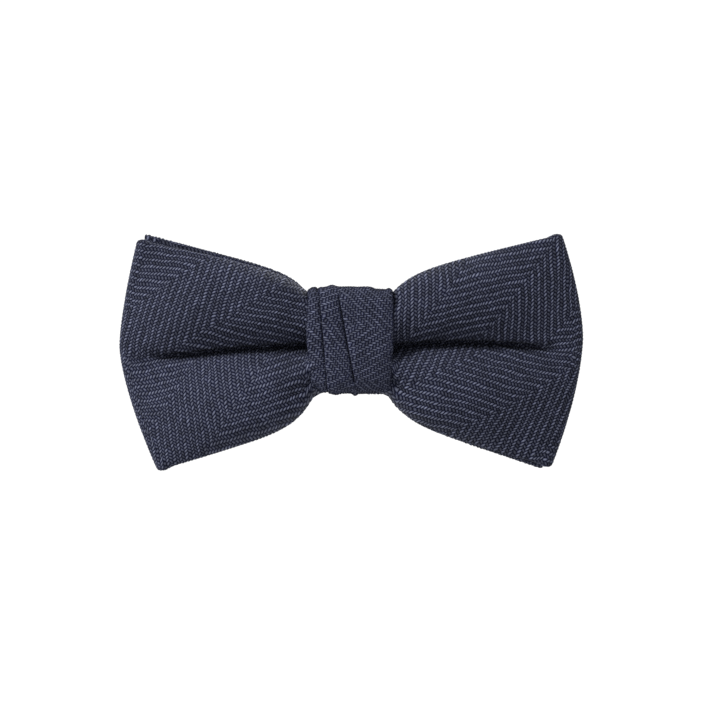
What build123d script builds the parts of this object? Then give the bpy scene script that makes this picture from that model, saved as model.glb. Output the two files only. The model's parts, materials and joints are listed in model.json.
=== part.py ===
# Clip-on pre-tied bow tie: a looped front bow, flat tails behind it, a pleated knot band round the
# waist, and a stamped steel collar clip with two sprung jaws.
# Millimetres.  +X is to the right as seen from the front, +Z is up and the front faces -Y.
# The origin is the centre of the clip base's rear face, where the shirt collar lies.
from build123d import *
import os

# ---- driving dimensions -------------------------------------------------------------------------
# cloth sandwich: face cloth, interlining, face cloth
CLOTH = 0.7
INTERLINING = 0.6
WALL = 2 * CLOTH + INTERLINING

# front bow: one strip folded into a flattened loop, pinched at the waist
BOW_REAR_Y = -3.6
WAIST_FRONT_Y = -14.2
CREST = (27.0, -14.6)        # most forward place of a lobe in plan (x, y)
FOLD_X = 55.0
FOLD_RADIUS = 2.4
EDGE_FRONT_Y = -12.4         # how far forward the crown still stands at the long edges
EDGE_HEIGHT = 28.0
CREASE_REACH = 46.0          # the crease dies out at this X
CREASE_HALF_HEIGHT = 4.0
CREASE_DEPTH = 3.2
CREASE_TAIL = 0.4            # half height of the crease where it dies out
HOLLOW_START = 14.0

# end folds, each an arc through the top corner, the crest and the bottom corner (x, z)
RIGHT_FOLD = ((50.2, 26.9), (54.9, 2.4), (47.7, -28.5))
LEFT_FOLD = ((-51.0, 25.7), (-55.1, 0.2), (-46.1, -29.4))

# working sizes that only have to reach past the bow
TALL = 40.0
CUT_FRONT_Y = -30.0
CUT_REAR_Y = 10.0
SPARE = 1.0

# waist, where both strips are gathered
WAIST_TOP = 11.7
WAIST_BOTTOM = -8.3
WAIST_HALF_WIDTH = 10.9
WAIST_CORNER = 1.0           # rounding that the binding thread pulls into the gathered bundle
SHOULDER_X = 11.3
STRIP_END_GAP = 0.8

# long edges of the front bow, each an arc from the shoulder to the corner (x, z)
FRONT_EDGES = {
    "top_right": ((SHOULDER_X, 14.2), (28.0, 21.3), RIGHT_FOLD[0]),
    "bottom_right": ((SHOULDER_X, -14.2), (27.5, -22.6), RIGHT_FOLD[-1]),
    "bottom_left": ((-SHOULDER_X, -14.5), (-27.0, -23.6), LEFT_FOLD[-1]),
    "top_left": ((-SHOULDER_X, 14.0), (-28.0, 20.8), LEFT_FOLD[0]),
}

# tails: a flat strip behind the loop, turned a little clockwise
TAILS_REAR_Y = -1.4
TAIL_EDGES = {
    "top_right": ((SHOULDER_X, 12.6), (30.0, 20.4), (47.5, 24.6)),
    "bottom_right": ((SHOULDER_X, -13.4), (28.0, -23.4), (45.0, -29.4)),
    "bottom_left": ((-SHOULDER_X, -12.4), (-28.0, -21.8), (-44.0, -27.2)),
    "top_left": ((-SHOULDER_X, 13.2), (-29.0, 21.6), (-48.2, 26.9)),
}
SLIT_LENGTH = 12.0           # the opening the tails are turned through
SLIT_HEIGHT = 0.4

# thread wound round the waist
THREAD_R = 0.25
THREAD_TURNS = 7
THREAD_PITCH = 0.9
THREAD_GAP = 0.05

# knot band
KNOT_HALF_WIDTH = 10.8
KNOT_Y = (-17.0, 2.0)
KNOT_Z = (-11.1, 14.5)
KNOT_WALL = 1.9
KNOT_CLOTH = 0.65
KNOT_FRONT_CORNER = 3.8
KNOT_REAR_CORNER = 2.6
KNOT_SEAM_Z = 1.7
KNOT_SEAM_GAP = 0.4
PLEATS = (((-6.5, 13.4), (-4.1, -10.4)), ((-2.2, 10.4), (1.35, -9.0)))   # each pleat's top and bottom (x, z)
PLEAT_WIDTH = 0.5
PLEAT_DEPTH = 0.6

# closing stitches on the rear of the knot
STITCH_R = 0.22
STITCH_LENGTH = 3.0
STITCH_PITCH = 3.2
STITCH_COUNT = 6

# collar clip
STEEL = 0.8
BRIDGE_HALF_HEIGHT = 4.0
WING_HALF_HEIGHT = 5.6
WING_INNER_X = 11.4
WING_OUTER_X = 27.6
WING_CORNER = 2.4
HINGE_X = 16.0
HINGE_Y = 3.0
EAR_RADIUS = 1.9
EAR_INNER_Z = WING_HALF_HEIGHT - STEEL
EAR_HOLE_R = 0.62
RIVET_R = 0.6
RIVET_HEAD_R = 1.05
RIVET_HEAD = 0.4
RIVET_GAP = 0.05
JAW_HOLE_R = 0.66
JAW_HALF_HEIGHT = 4.55
CHEEK_RADIUS = 1.6
JAW_LINE = ((10.9, 7.0), (13.6, 5.4), (19.4, 5.0), (25.6, 3.0), (26.9, 0.75))   # tab to tip (x, y)
JAW_BEND_R = 0.9
JAW_TEETH = 5
TOOTH_DEPTH = 0.9
NOTCH_REACH = 3.0
SPRING_WIRE_R = 0.2
SPRING_COIL_R = 0.95
SPRING_TURNS = 4.5
SPRING_PITCH = 0.5
SPRING_FIXED_FOOT = (12.0, 0.28)
SPRING_MOVING_FOOT = (12.6, 5.15)

FRONT_PLANE = Plane.XZ       # local x is X, local y is Z, extrusions go towards the front
SIDE_PLANE = Plane.YZ        # local x is Y, local y is Z, extrusions go along X


# ---- bow strips ---------------------------------------------------------------------------------
def front_prism(face, y_front, y_rear):
    """Extrude a front-view face between two Y values."""
    return Pos(0, y_rear, 0) * extrude(FRONT_PLANE * face, y_rear - y_front)


def bow_outline(edges):
    """Front view of a bow strip: a waist, four long edges and two end folds."""
    lines = []
    for side, top, bottom in ((1, "top_right", "bottom_right"), (-1, "top_left", "bottom_left")):
        lines.append(Line((side * WAIST_HALF_WIDTH, WAIST_TOP), edges[top][0]))
        lines.append(ThreePointArc(*edges[top]))
        lines.append(Line((side * WAIST_HALF_WIDTH, WAIST_BOTTOM), edges[bottom][0]))
        lines.append(ThreePointArc(*edges[bottom]))
    if edges is FRONT_EDGES:
        lines += [ThreePointArc(*RIGHT_FOLD), ThreePointArc(*LEFT_FOLD)]
    else:
        lines.append(Line(edges["top_right"][-1], edges["bottom_right"][-1]))
        lines.append(Line(edges["top_left"][-1], edges["bottom_left"][-1]))
    for z in (WAIST_TOP, WAIST_BOTTOM):
        lines.append(Line((-WAIST_HALF_WIDTH, z), (WAIST_HALF_WIDTH, z)))
    return make_face([edge for line in lines for edge in line.edges()])


def between_folds(inset):
    """Front view of everything between the two end folds, carried far above and below the bow."""
    right_top, right_bottom = RIGHT_FOLD[0], RIGHT_FOLD[-1]
    left_top, left_bottom = LEFT_FOLD[0], LEFT_FOLD[-1]
    lines = ThreePointArc(*RIGHT_FOLD) + ThreePointArc(*LEFT_FOLD)
    lines += Polyline(right_top, (right_top[0], TALL), (left_top[0], TALL), left_top)
    lines += Polyline(right_bottom, (right_bottom[0], -TALL), (left_bottom[0], -TALL), left_bottom)
    return offset(make_face(lines), -inset)


def plan_section(inset, start):
    """The loop seen from above: crowned front, round end folds, flat rear.  start leaves out the waist."""
    centre_x = FOLD_X - FOLD_RADIUS
    centre_y = BOW_REAR_Y - FOLD_RADIUS
    lines = Line((0, WAIST_FRONT_Y), (0, BOW_REAR_Y))
    lines += ThreePointArc((0, WAIST_FRONT_Y), CREST, (centre_x, centre_y - FOLD_RADIUS))
    lines += ThreePointArc((centre_x, centre_y - FOLD_RADIUS), (FOLD_X, centre_y), (centre_x, BOW_REAR_Y))
    lines += Line((centre_x, BOW_REAR_Y), (0, BOW_REAR_Y))
    right = make_face(lines)
    face = offset(right + mirror(right, about=Plane.YZ), -inset)
    if start:
        face -= Rectangle(2 * start, 2 * FOLD_X)
    return face


def crown_section(inset):
    """The loop seen from the side: its front leans back towards both long edges."""
    front_y = CREST[1] + inset
    edge_y = EDGE_FRONT_Y + inset
    lines = ThreePointArc((edge_y, -EDGE_HEIGHT), (front_y, 0), (edge_y, EDGE_HEIGHT))
    lines += Polyline((edge_y, EDGE_HEIGHT), (edge_y, TALL), (SPARE, TALL))
    lines += Polyline((SPARE, TALL), (SPARE, -TALL), (edge_y, -TALL), (edge_y, -EDGE_HEIGHT))
    return make_face(lines)


def crease(side, inset):
    """The wedge taken out of a lobe's front by the middle crease, grown by inset for the inner faces."""
    mouth_y = CREST[1] - SPARE
    half_height = CREASE_HALF_HEIGHT + inset
    floor_y = CREST[1] + CREASE_DEPTH + inset
    near = Polyline((mouth_y, -half_height), (mouth_y, half_height), (floor_y, 0), close=True)
    far = Polyline((mouth_y, -CREASE_TAIL), (mouth_y, CREASE_TAIL), (CREST[1], 0), close=True)
    far_plane = SIDE_PLANE.offset(side * (CREASE_REACH + inset))
    return loft([SIDE_PLANE * make_face(near), far_plane * make_face(far)], ruled=True)


def bow_volume(inset, start=0.0):
    """The loop's filled shape, inset from its outer faces."""
    body = extrude(plan_section(inset, start), TALL - SPARE, both=True)
    body &= extrude(SIDE_PLANE * crown_section(inset), 2 * FOLD_X, both=True)
    body &= front_prism(between_folds(inset), CUT_FRONT_Y, CUT_REAR_Y)
    return body - crease(1, inset) - crease(-1, inset)


def waist_bundle(inset):
    """Side view of both strips gathered at the waist."""
    depth = TAILS_REAR_Y - WAIST_FRONT_Y
    height = WAIST_TOP - WAIST_BOTTOM
    middle = Pos((TAILS_REAR_Y + WAIST_FRONT_Y) / 2, (WAIST_TOP + WAIST_BOTTOM) / 2)
    return middle * RectangleRounded(depth - 2 * inset, height - 2 * inset, WAIST_CORNER - inset)


def outside_waist(inset):
    """Everything around the gathered waist, for trimming the strips there."""
    frame = Rectangle(2 * TALL, 2 * TALL) - waist_bundle(inset)
    return extrude(SIDE_PLANE * frame, WAIST_HALF_WIDTH, both=True)


def make_front_bow():
    outline = bow_outline(FRONT_EDGES)
    stock = bow_volume(0) & front_prism(outline, CUT_FRONT_Y, CUT_REAR_Y)
    stock -= outside_waist(0)
    lining = bow_volume(CLOTH) & front_prism(offset(outline, -CLOTH), CUT_FRONT_Y, CUT_REAR_Y)
    lining -= outside_waist(CLOTH)
    lining -= bow_volume(CLOTH + INTERLINING, HOLLOW_START - CLOTH)
    strip_end_gap = Pos(0, BOW_REAR_Y, 0) * Box(STRIP_END_GAP, 2 * CLOTH, 2 * TALL)
    cover = stock - bow_volume(WALL, HOLLOW_START) - (lining + strip_end_gap)
    return cover, lining - strip_end_gap


# ---- tails --------------------------------------------------------------------------------------
def make_tails():
    outline = bow_outline(TAIL_EDGES)
    front_y = TAILS_REAR_Y - WALL
    lining = front_prism(offset(outline, -CLOTH), front_y + CLOTH, TAILS_REAR_Y - CLOTH)
    lining -= outside_waist(CLOTH)
    slit = Box(SLIT_LENGTH, CLOTH, SLIT_HEIGHT, align=(Align.CENTER, Align.MIN, Align.CENTER))
    stock = front_prism(outline, front_y, TAILS_REAR_Y) - outside_waist(0)
    cover = stock - (lining + Pos(0, front_y, 0) * slit)
    return cover, lining


# ---- waist thread -------------------------------------------------------------------------------
def make_waist_thread():
    """Closed turns of thread round the gathered waist, side by side along X."""
    path = (SIDE_PLANE * waist_bundle(-THREAD_R - THREAD_GAP)).wire()
    section = Plane(origin=path @ 0, z_dir=path % 0) * Circle(THREAD_R)
    turn = sweep(section, path=path)
    first_x = -(THREAD_TURNS - 1) / 2 * THREAD_PITCH
    return [Pos(first_x + i * THREAD_PITCH, 0, 0) * turn for i in range(THREAD_TURNS)]


# ---- knot band ----------------------------------------------------------------------------------
def knot_ring(inset):
    """Side view of the knot band's closed outline, inset from its outer face."""
    y0, y1 = KNOT_Y[0] + inset, KNOT_Y[1] - inset
    z0, z1 = KNOT_Z[0] + inset, KNOT_Z[1] - inset
    face = Pos((y0 + y1) / 2, (z0 + z1) / 2) * Rectangle(y1 - y0, z1 - z0)
    front = face.vertices().group_by(Axis.X)[0]
    face = fillet(front, KNOT_FRONT_CORNER - inset)
    rear = face.vertices().group_by(Axis.X)[-1]
    return fillet(rear, KNOT_REAR_CORNER - inset)


def knot_band(outer_inset, inner_inset, half_width):
    ring = knot_ring(outer_inset) - knot_ring(inner_inset)
    return extrude(SIDE_PLANE * ring, half_width, both=True)


def pleat_groove(top, bottom):
    """A narrow slanted groove in the knot's front face, at the edge of a pleat."""
    (x0, z0), (x1, z1) = top, bottom
    half = PLEAT_WIDTH / 2
    corners = ((x0 - half, z0), (x0 + half, z0), (x1 + half, z1), (x1 - half, z1))
    face = make_face(Polyline(*corners, close=True))
    return front_prism(face, KNOT_Y[0] - SPARE, KNOT_Y[0] + PLEAT_DEPTH)


def make_knot():
    lining = knot_band(KNOT_CLOTH, KNOT_WALL - KNOT_CLOTH, KNOT_HALF_WIDTH - KNOT_CLOTH)
    seam = Box(2 * KNOT_HALF_WIDTH, 2 * KNOT_WALL + SPARE, KNOT_SEAM_GAP)
    seam = Pos(0, KNOT_Y[1], KNOT_SEAM_Z) * seam
    lining -= seam
    wrap = knot_band(0, KNOT_WALL, KNOT_HALF_WIDTH) - lining - seam
    for top, bottom in PLEATS:
        wrap -= pleat_groove(top, bottom)
    return wrap, lining


def make_closing_stitches():
    """Short upright stitches across the seam on the rear of the knot band."""
    y = KNOT_Y[1] + STITCH_R
    stitches = []
    for i in range(STITCH_COUNT):
        x = (i - (STITCH_COUNT - 1) / 2) * STITCH_PITCH
        bar = Cylinder(STITCH_R, STITCH_LENGTH)
        for end in (-1, 1):
            bar += Pos(0, 0, end * STITCH_LENGTH / 2) * Sphere(STITCH_R)
        stitches.append(Pos(x, y, KNOT_SEAM_Z) * bar)
    return stitches


# ---- collar clip --------------------------------------------------------------------------------
def left_of(shape):
    """The same piece on the other side of the bow tie."""
    return mirror(shape, about=Plane.YZ)


def hinge_disc(radius, z_low, z_high):
    """A disc on the right-hand hinge axis between two heights."""
    disc = Cylinder(radius, z_high - z_low, align=(Align.CENTER, Align.CENTER, Align.MIN))
    return Pos(HINGE_X, HINGE_Y, z_low) * disc


def ear(low_z):
    """One upright ear of the right-hand hinge, with its rivet hole."""
    high_z = low_z + STEEL
    post = Box(2 * EAR_RADIUS, HINGE_Y + STEEL, STEEL, align=(Align.CENTER, Align.MIN, Align.MIN))
    shape = Pos(HINGE_X, -STEEL, low_z) * post + hinge_disc(EAR_RADIUS, low_z, high_z)
    return shape - hinge_disc(EAR_HOLE_R, low_z - SPARE, high_z + SPARE)


def make_clip_base():
    wing_length = WING_OUTER_X - WING_INNER_X
    wing = Pos((WING_OUTER_X + WING_INNER_X) / 2, 0) * RectangleRounded(
        wing_length, 2 * WING_HALF_HEIGHT, WING_CORNER
    )
    plate = wing + mirror(wing, about=Plane.YZ)
    plate += Rectangle(2 * WING_INNER_X + 2 * WING_CORNER, 2 * BRIDGE_HALF_HEIGHT)
    base = front_prism(plate, -STEEL, 0)
    ears = ear(EAR_INNER_Z) + ear(-EAR_INNER_Z - STEEL)
    return base + ears + left_of(ears)


def bent_strip(points, bend_r, thickness):
    """Section of a sheet bent along a line of points."""
    return trace(FilletPolyline(*points, radius=bend_r), line_width=thickness)


def tip_notches():
    """Triangular cuts between the teeth of the right-hand jaw's tip."""
    tooth = 2 * JAW_HALF_HEIGHT / JAW_TEETH
    tip_x, tip_y = JAW_LINE[-1]
    low_y = tip_y - SPARE
    root_y = tip_y - STEEL / 2 + TOOTH_DEPTH
    notches = []
    for i in range(1, JAW_TEETH):
        z = -JAW_HALF_HEIGHT + i * tooth
        outline = Polyline((low_y, z - tooth / 2), (low_y, z + tooth / 2), (root_y, z), close=True)
        notch = extrude(SIDE_PLANE * make_face(outline), NOTCH_REACH, both=True)
        notches.append(Pos(tip_x, 0, 0) * notch)
    return notches


def make_right_jaw():
    """A rocking jaw: press tab, hinge cheeks and toothed tip, bent from one sheet."""
    sheet = extrude(bent_strip(JAW_LINE, JAW_BEND_R, STEEL), JAW_HALF_HEIGHT, both=True)
    low_corners = ((HINGE_X + CHEEK_RADIUS, HINGE_Y), (HINGE_X - CHEEK_RADIUS, HINGE_Y))
    cheek_outline = make_face(Polyline(JAW_LINE[1], JAW_LINE[2], *low_corners, close=True))
    cheeks = Part()
    for low_z in (JAW_HALF_HEIGHT - STEEL, -JAW_HALF_HEIGHT):
        cheeks += Pos(0, 0, low_z) * extrude(cheek_outline, STEEL)
        cheeks += hinge_disc(CHEEK_RADIUS, low_z, low_z + STEEL)
    jaw = sheet + cheeks
    jaw -= hinge_disc(JAW_HOLE_R, -JAW_HALF_HEIGHT - SPARE, JAW_HALF_HEIGHT + SPARE)
    jaw -= tip_notches()
    return jaw


def make_right_pin():
    """Rivet through the ears and the jaw's cheeks."""
    end_z = WING_HALF_HEIGHT + RIVET_GAP
    pin = hinge_disc(RIVET_R, -end_z, end_z)
    for low_z in (end_z, -end_z - RIVET_HEAD):
        pin += hinge_disc(RIVET_HEAD_R, low_z, low_z + RIVET_HEAD)
    return pin


def make_right_spring():
    """Torsion spring on the rivet, with one foot on the base and one under the press tab."""
    height = SPRING_TURNS * SPRING_PITCH
    coil_path = Rot(0, 0, -90) * Helix(SPRING_PITCH, height, SPRING_COIL_R)
    coil_path = Pos(HINGE_X, HINGE_Y, -height / 2) * coil_path
    section = Plane(origin=coil_path @ 0, z_dir=coil_path % 0) * Circle(SPRING_WIRE_R)
    spring = sweep(section, path=coil_path, is_frenet=True)
    for end, foot in ((coil_path @ 0, SPRING_FIXED_FOOT), (coil_path @ 1, SPRING_MOVING_FOOT)):
        foot_point = Vector(foot[0], foot[1], end.Z)
        leg_plane = Plane(origin=end, z_dir=foot_point - end)
        leg = extrude(leg_plane * Circle(SPRING_WIRE_R), (foot_point - end).length)
        spring += leg + Pos(*end) * Sphere(SPRING_WIRE_R) + Pos(*foot_point) * Sphere(SPRING_WIRE_R)
    return spring


# ---- write the nodes ----------------------------------------------------------------------------
def write(name, shape):
    solids = shape if isinstance(shape, list) else [shape]
    flat = [solid for item in solids for solid in item.solids()]
    node = flat[0] if len(flat) == 1 else Compound(children=flat)
    export_step(node, f"parts/{name}.step")


os.makedirs("parts", exist_ok=True)
front_cover, front_lining = make_front_bow()
tails_cover, tails_lining = make_tails()
knot_wrap, knot_lining = make_knot()
right_jaw = make_right_jaw()
right_pin = make_right_pin()
right_spring = make_right_spring()

write("front_bow_cover", front_cover)
write("front_bow_interlining", front_lining)
write("rear_bow_cover", tails_cover)
write("rear_bow_interlining", tails_lining)
write("waist_binding_thread", make_waist_thread())
write("knot_wrap", knot_wrap)
write("knot_interlining", knot_lining)
write("knot_closing_stitches", make_closing_stitches())
write("clip_base", make_clip_base())
write("right_jaw", right_jaw)
write("left_jaw", left_of(right_jaw))
write("right_hinge_pin", right_pin)
write("left_hinge_pin", left_of(right_pin))
write("right_spring", right_spring)
write("left_spring", left_of(right_spring))
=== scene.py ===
import json
import math

import bpy
import numpy as np
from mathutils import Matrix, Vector


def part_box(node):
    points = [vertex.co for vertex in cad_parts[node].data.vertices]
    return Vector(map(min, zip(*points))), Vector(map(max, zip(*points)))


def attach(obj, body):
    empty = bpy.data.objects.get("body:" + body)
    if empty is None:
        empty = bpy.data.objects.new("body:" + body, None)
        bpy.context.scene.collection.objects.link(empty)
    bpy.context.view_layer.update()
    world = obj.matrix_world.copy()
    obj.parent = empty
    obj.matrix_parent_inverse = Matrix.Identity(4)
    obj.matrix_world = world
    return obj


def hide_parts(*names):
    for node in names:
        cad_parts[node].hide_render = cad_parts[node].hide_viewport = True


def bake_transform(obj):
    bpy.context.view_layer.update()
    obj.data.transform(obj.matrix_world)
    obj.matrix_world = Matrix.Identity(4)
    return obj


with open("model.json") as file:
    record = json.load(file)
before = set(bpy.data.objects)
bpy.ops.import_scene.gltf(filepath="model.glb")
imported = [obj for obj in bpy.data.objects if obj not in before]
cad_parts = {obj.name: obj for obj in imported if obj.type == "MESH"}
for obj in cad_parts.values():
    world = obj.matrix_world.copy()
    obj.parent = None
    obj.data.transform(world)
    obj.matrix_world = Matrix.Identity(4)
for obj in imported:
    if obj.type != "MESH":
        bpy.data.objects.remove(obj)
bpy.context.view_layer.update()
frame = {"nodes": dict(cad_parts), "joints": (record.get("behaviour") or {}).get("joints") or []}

# Lengths below are millimetres in the CAD frame: X to the right, Z up, the bow's front faces -Y.
# A side is 1 for the right lobe and -1 for the left one, and its X is measured outwards from the waist.
MM = 0.001


def node_box(node):
    """A CAD node's lowest and highest corners, in millimetres."""
    low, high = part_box(node)
    return np.array(low) / MM, np.array(high) / MM


bow_low, bow_high = node_box("front_bow_cover")
tails_low, tails_high = node_box("rear_bow_cover")
knot_low, knot_high = node_box("knot_wrap")

# ---- driving numbers ----
DETAIL = 0.2  # spacing of the cloth meshes on the faces that show
COARSE = 1.2  # spacing on the hidden faces
SHEET = 2.0  # thickness of the cloth, interlining, cloth sandwich
LINING = 0.6

# herringbone cloth, cut on the bias
YARN = 0.58  # yarn pitch
COLUMN_YARNS = 26  # yarns from one reversal of the twill to the next
COLUMN_START = -0.1  # where one reversal crosses the strip's middle line
# How the cloth lies in each quarter (side, up or down): lean of its crosswise lines about the pivot, and
# how far it is drawn along by the gathers.
CLOTH_PULL = {
    (1, 1): (0.0, 0.0),
    (1, -1): (0.46, 9.1),
    (-1, 1): (0.32, 3.9),
    (-1, -1): (-0.13, 11.1),
}
PULL_PIVOT = 15.0
YARN_HEIGHT = 0.26
FLOAT_LENGTH = 1.14  # half length and half width of a float, in yarn pitches
FLOAT_WIDTH = 0.52
WEFT_LAYER = 0.9  # the weft lies a little lower than the warp
YARN_WOBBLE = 0.11
ROOT2 = math.sqrt(2)

# front bow
STRIP_HALF = 28.0
FOLD_R = 1.4  # radius of the end fold's middle surface
LOBE_START = 9.0  # the lobes' shapes begin here, inside the knot
BOW_SIDES = {
    1: {
        "crest": (bow_high[0] + 0.4, 2.4),
        "fold_power": 1.6,
        "top": {"corner": (50.2, bow_high[2]), "slope": 0.25, "drop": 3.5, "reach": 4.2},
        "bottom": {"corner": (47.7, bow_low[2] + 0.9), "slope": 0.292, "drop": 4.2, "reach": 4.0},
        "crease": (0.3, -0.8, 1.2),
    },
    -1: {
        "crest": (-bow_low[0] + 0.3, 0.2),
        "fold_power": 1.45,
        "top": {"corner": (51.0, bow_high[2] - 1.35), "slope": 0.225, "drop": 3.4, "reach": 4.5},
        "bottom": {"corner": (46.1, bow_low[2]), "slope": 0.308, "drop": 4.6, "reach": 3.6},
        "crease": (0.5, -3.2, 0.1),
    },
}
KNOT_EDGE = 10.8  # X where the lobes come out from under the knot
CREASE_BEND = 0.05  # shares of each half in the crease's bend and wall
CREASE_WALL = 0.12
CREASE_DEPTH = 3.6
CREASE_OPENING = 0.35  # free space on each side of the crease's floor
CREASE_FLARE = (0.3, 1.3)  # how much the upper and lower wall lean away
CREASE_END = (0.7, 0.98)  # where it gets shallow and where it is gone, on the way to the fold
PANEL_Y = (-9.8, -7.4)  # the front panel without its bulge, in the knot and at the fold
PANEL_ARCH = 1.4  # how much further forward it is halfway
LOBE_BULGE = 4.4  # in the knot
BULGE_GAIN = 1.7  # more of it just outside the knot
BULGE_FADE = 2.6  # a high power keeps the lobe full until near the fold
CREASE_ROUND = 0.85  # fullness of the roll beside the crease and beside the edge
EDGE_ROUND = 0.72
EDGE_ROLL = (1.8, 0.2)  # how far the long edges turn back, in the knot and at the fold
PUCKER = 0.95  # depth and size of the small folds beside the knot
PUCKER_SIZE = 9.0
SWELL = 0.35  # depth and size of the lobes' broad unevenness
SWELL_SIZE = 34.0
WAIST_PINCH = 0.6  # the rear panel is this much narrower at the waist, on each edge
REAR_SWELL = 0.25
REAR_SWELL_SIZE = 30.0
PANEL_STRETCH = 1.04  # cloth along a panel for each millimetre of X
FOLD_ZONE_X = 40  # past this X and behind this Y lies the end fold
PANEL_REAR_Y = -9

# Tails: the outline's corners and slopes, behind the loop.
TAIL_SIDES = {
    1: {
        "top": {"corner": (47.5, 24.6), "slope": 0.24, "drop": 3.2, "reach": 4.2},
        "bottom": {"corner": (46.2, tails_low[2]), "slope": 0.335, "drop": 3.6, "reach": 4.0},
    },
    -1: {
        "top": {"corner": (49.7, tails_high[2] + 0.35), "slope": 0.262, "drop": 3.2, "reach": 4.2},
        "bottom": {"corner": (44.0, -27.2), "slope": 0.29, "drop": 4.0, "reach": 4.0},
    },
}
TAIL_LINING_INSET = 1.5
TAIL_END_BOW = 0.5  # how far the cut ends curve out in the middle
TAIL_CLOTH_START = 7.0  # the weave's offset along the tails from the loop's
TAIL_SWELL = 0.3
TAIL_SWELL_SIZE = 26.0
TAIL_GATHER = 0.25  # depth of the gathers beside the waist, and how far out they reach
TAIL_GATHER_REACH = 7.0
TAIL_GATHER_WAVE = 21  # radians of gathers from the middle to an edge


# ---- small tools ----
def smoothstep(low, high, x):
    """0 at low and 1 at high with a smooth ramp between them.  low may be the larger one."""
    t = np.clip((x - low) / (high - low), 0.0, 1.0)
    return t * t * (3 - 2 * t)


def lerp(a, b, t):
    return a + (b - a) * t


def unit(vectors):
    """Vectors scaled to length 1."""
    return vectors / np.maximum(np.linalg.norm(vectors, axis=-1, keepdims=True), 1e-9)


def ripple(u, v, scale, seed):
    """Smooth noise of about -1 to 1 from a few crossed waves, the same on each run."""
    rng = np.random.default_rng(seed)
    total = np.zeros(np.broadcast(u, v).shape)
    waves = 7
    for _ in range(waves):
        angle = rng.uniform(0, math.tau)
        length = scale * rng.uniform(0.6, 1.7)
        phase = rng.uniform(0, math.tau)
        total = total + np.sin((u * math.cos(angle) + v * math.sin(angle)) * math.tau / length + phase)
    return total / math.sqrt(waves)


def blur_along(points, passes, wrap):
    """Evens out a grid of points along its first axis."""
    for _ in range(passes):
        if wrap:
            points = (np.roll(points, 1, 0) + 2 * points + np.roll(points, -1, 0)) / 4
        else:
            inner = (points[:-2] + 2 * points[1:-1] + points[2:]) / 4
            points = np.concatenate([points[:1], inner, points[-1:]])
    return points


def grid_normals(points, wrap_s):
    """Unit normals of a grid of points, along d/dv x d/ds."""
    if wrap_s:
        along = np.roll(points, -1, 0) - np.roll(points, 1, 0)
    else:
        along = np.gradient(points, axis=0)
    across = np.gradient(points, axis=1)
    return unit(np.cross(across, along))


def path_lengths(points, axis):
    """Distance travelled along one axis of a grid of points, from 0."""
    steps = np.linalg.norm(np.diff(points, axis=axis), axis=-1)
    start = np.zeros_like(np.take(steps, [0], axis=axis))
    return np.concatenate([start, np.cumsum(steps, axis=axis)], axis=axis)


# ---- weave ----
def float_height(along, across):
    """Height of one float of yarn, an ellipsoid in yarn pitches from its centre."""
    return np.sqrt(np.clip(1 - (along / FLOAT_LENGTH) ** 2 - (across / FLOAT_WIDTH) ** 2, 0, 1))


def weave_height(u, v):
    """Height of the herringbone's yarns, 0 to 1, at cloth coordinates u along and v across a strip."""
    a = (u - v) / (ROOT2 * YARN)
    b = (u + v) / (ROOT2 * YARN)
    i, j = np.floor(a), np.floor(b)
    column = np.floor((a - COLUMN_START / (ROOT2 * YARN)) / COLUMN_YARNS)
    way = 2 * np.mod(column, 2) - 1
    warp = float_height(np.mod(way * i + b + 1, 4) - 2, a - i - 0.5)
    weft = float_height(np.mod(way * a + j - (1 + way) / 2, 4) - 2, b - j - 0.5)
    return np.maximum(warp, WEFT_LAYER * weft)


def wobbled(u, v, seed):
    """Cloth coordinates with the small unevenness of real yarns."""
    du = YARN_WOBBLE * ripple(u, v, 5.0, seed) + 2.2 * YARN_WOBBLE * ripple(u, v, 21.0, seed + 1)
    dv = YARN_WOBBLE * ripple(u, v, 5.0, seed + 2) + 2.2 * YARN_WOBBLE * ripple(u, v, 21.0, seed + 3)
    return u + du, v + dv


# ---- meshes ----
def make_object(name, vertices, faces, material, cloth=None):
    """A mesh object from points in millimetres.  cloth holds one (u, v) per face corner."""
    mesh = bpy.data.meshes.new(name)
    mesh.from_pydata((vertices * MM).tolist(), [], faces.tolist() if hasattr(faces, "tolist") else faces)
    if cloth is not None:
        layer = mesh.uv_layers.new(name="cloth")
        layer.data.foreach_set("uv", np.asarray(cloth, dtype=np.float32).ravel())
    mesh.polygons.foreach_set("use_smooth", [True] * len(mesh.polygons))
    mesh.materials.append(material)
    mesh.update()
    obj = bpy.data.objects.new(name, mesh)
    bpy.context.scene.collection.objects.link(obj)
    return obj


def grid_faces(rows, columns, wrap_rows, wrap_columns):
    """Quads of a grid, and the unwrapped grid places of their corners."""
    r = np.arange(rows if wrap_rows else rows - 1)
    c = np.arange(columns if wrap_columns else columns - 1)
    r, c = np.meshgrid(r, c, indexing="ij")
    corner_r = np.stack([r, r + 1, r + 1, r], -1).reshape(-1, 4)
    corner_c = np.stack([c, c, c + 1, c + 1], -1).reshape(-1, 4)
    faces = (corner_r % rows) * columns + corner_c % columns
    return faces, corner_r, corner_c


EDGE_STEPS = 9  # facets of a strip's half-round long edge


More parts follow.
